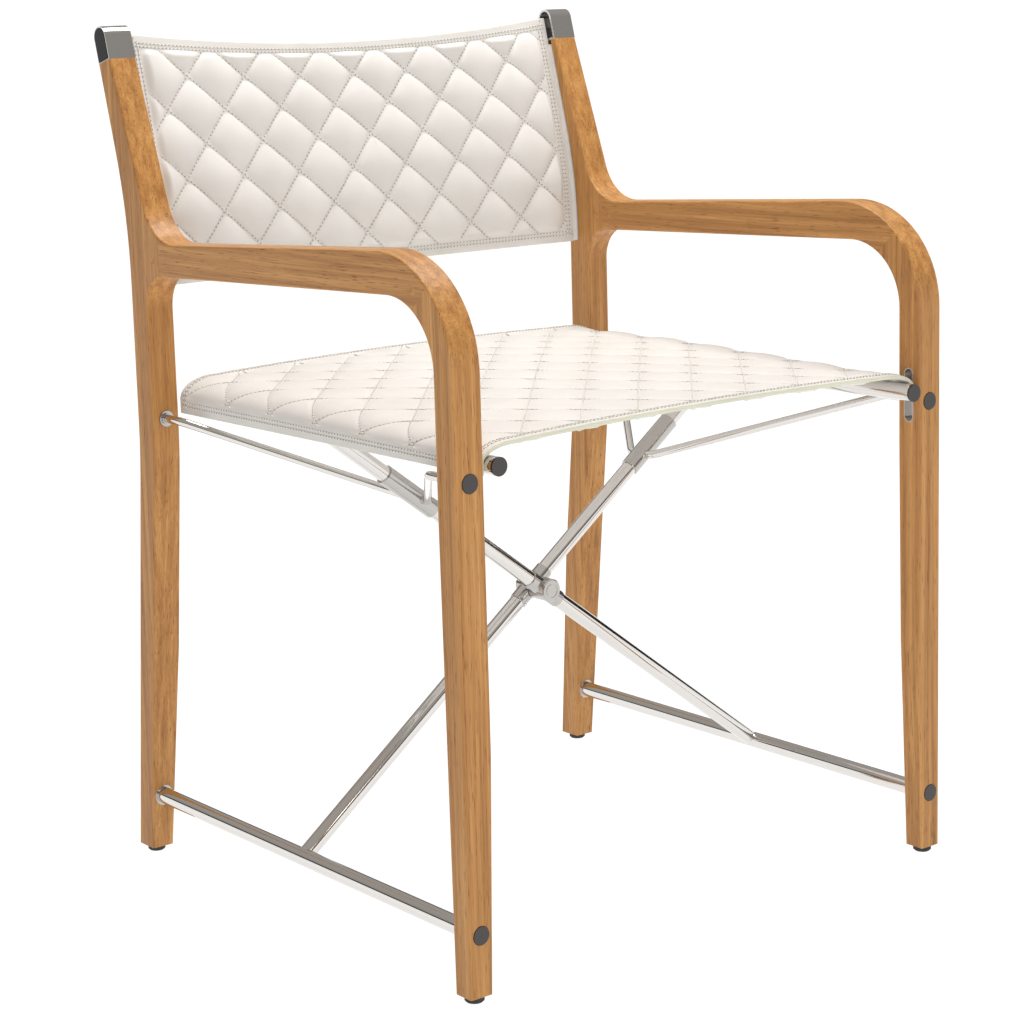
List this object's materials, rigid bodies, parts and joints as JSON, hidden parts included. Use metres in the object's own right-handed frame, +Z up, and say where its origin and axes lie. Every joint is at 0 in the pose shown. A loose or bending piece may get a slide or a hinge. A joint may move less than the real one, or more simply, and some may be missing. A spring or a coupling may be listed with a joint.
{
  "type": "director chair",
  "caption": "Folding director chair with bent teak side frames, crossed stainless tubes with link rods, and a quilted white leather sling seat and back",
  "frame": {"origin": "on the floor under the middle of the chair, half way between the side frames", "axes": "+Z up, the front of the seat faces -Y, +X to the right seen from the front"},
  "size_m": [0.57, 0.5386, 0.8025],
  "materials": {
    "teak": "oiled, satin",
    "dowel_wood": "oiled, satin",
    "polished_steel": "polished stainless",
    "satin_steel": "satin stainless",
    "dark_steel": "polished, dark",
    "rubber": "matte",
    "leather": "padded and quilted"
  },
  "bodies": {
    "left_frame": {"left_front_leg": "teak", "left_arm": "teak", "left_rear_post": "teak", "left_bend_spline": "dowel_wood", "left_dowels": "dowel_wood", "left_glides": "rubber", "left_post_cap": "satin_steel", "left_cap_screw": "satin_steel", "left_slot_cup": "dark_steel", "left_link_flanges": "dark_steel", "left_hinge_screws": "dark_steel", "left_stretcher_bushes": "satin_steel", "left_back_rod": "polished_steel", "back_leather": "leather"},
    "rear_cross": {"rear_diagonal": "polished_steel", "rear_pivot_casting": "satin_steel", "rear_sleeve": "satin_steel", "left_stretcher": "polished_steel", "left_stretcher_plugs": "satin_steel", "left_stretcher_bolts": "dark_steel", "right_seat_rail": "polished_steel", "right_rail_caps": "dark_steel"},
    "front_cross": {"front_diagonal": "polished_steel", "front_pivot_casting": "satin_steel", "front_sleeve": "satin_steel", "right_stretcher": "polished_steel", "right_stretcher_plugs": "satin_steel", "right_stretcher_bolts": "dark_steel", "left_seat_rail": "polished_steel", "left_rail_caps": "dark_steel", "pivot_bolt": "satin_steel", "pivot_washers": "satin_steel", "pivot_nut": "satin_steel", "seat_leather": "leather"},
    "left_link": {"front_link_rod": "polished_steel"},
    "right_link": {"rear_link_rod": "polished_steel"},
    "right_frame": {"right_front_leg": "teak", "right_arm": "teak", "right_rear_post": "teak", "right_bend_spline": "dowel_wood", "right_dowels": "dowel_wood", "right_glides": "rubber", "right_post_cap": "satin_steel", "right_cap_screw": "satin_steel", "right_slot_cup": "dark_steel", "right_link_flanges": "dark_steel", "right_hinge_screws": "dark_steel", "right_stretcher_bushes": "satin_steel", "right_back_rod": "polished_steel"}
  },
  "joints": [
    {"name": "fold", "type": "hinge", "parent": "left_frame", "child": "rear_cross", "pos_m": [-0.27271, -0.01, 0.0595], "axis": [0, -1, 0], "range_deg": [0, 40.7]},
    {"name": "crossing", "type": "hinge", "parent": "rear_cross", "child": "front_cross", "pos_m": [0, -0.019, 0.26454], "axis": [0, -1, 0], "range_deg": [-86, 0], "deforming": ["seat_leather"]},
    {"name": "right_frame_hinge", "type": "hinge", "parent": "front_cross", "child": "right_frame", "pos_m": [0.27271, -0.028, 0.0595], "axis": [0, -1, 0], "range_deg": [0, 40.71], "deforming": ["back_leather"]},
    {"name": "left_link_hinge", "type": "hinge", "parent": "front_cross", "child": "left_link", "pos_m": [-0.14387, -0.028, 0.37272], "axis": [0, -1, 0], "range_deg": [0, 143.01]},
    {"name": "right_link_hinge", "type": "hinge", "parent": "rear_cross", "child": "right_link", "pos_m": [0.14387, -0.01, 0.37272], "axis": [0, -1, 0], "range_deg": [-143.01, 0]}
  ],
  "couplings": [
    {"joint": "crossing", "follows": "fold", "ratio": -2.1128},
    {"joint": "right_frame_hinge", "follows": "fold", "ratio": 1},
    {"joint": "left_link_hinge", "follows": "fold", "ratio": 3.5136},
    {"joint": "right_link_hinge", "follows": "fold", "ratio": -3.5136}
  ]
}
